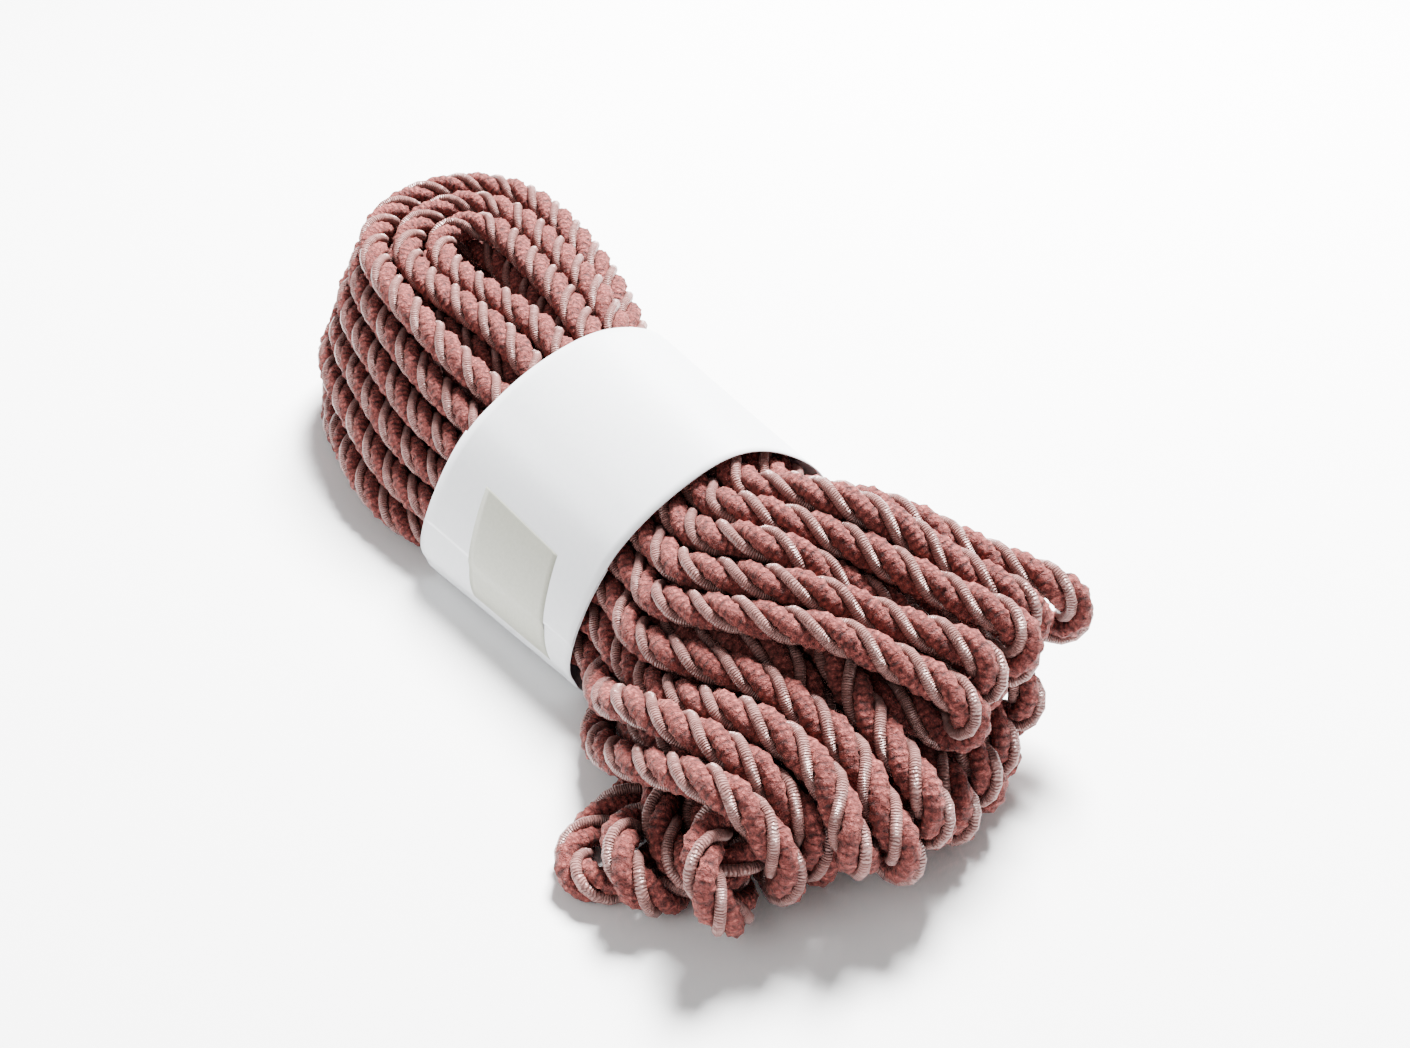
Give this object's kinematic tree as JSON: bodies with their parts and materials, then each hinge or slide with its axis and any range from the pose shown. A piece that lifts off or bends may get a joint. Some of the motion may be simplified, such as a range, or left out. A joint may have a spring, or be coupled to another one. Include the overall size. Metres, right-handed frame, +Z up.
{
  "type": "hank of decorative cord with a paper band",
  "caption": "Hank of thick twisted furnishing cord for trimming, coiled at one end, fanned at the other and tied at the waist by a blank paper band.",
  "frame": {"origin": "middle of the hank seen from above, at the level of the surface it rests on", "axes": "+X along the hank from its coiled end to its fanned loop tips, +Y to the side away from the tape, +Z up"},
  "size_m": [0.3288, 0.1534, 0.0719],
  "materials": {
    "hank": "four twisted strands, two of smooth pale pink satin and two of matte dusty rose crepe",
    "band": "smooth white paper, blank",
    "tape": "matte yellowish grey adhesive tape"
  },
  "bodies": {
    "root": {"hank": "hank", "band": "band", "tape": "tape"}
  },
  "joints": []
}
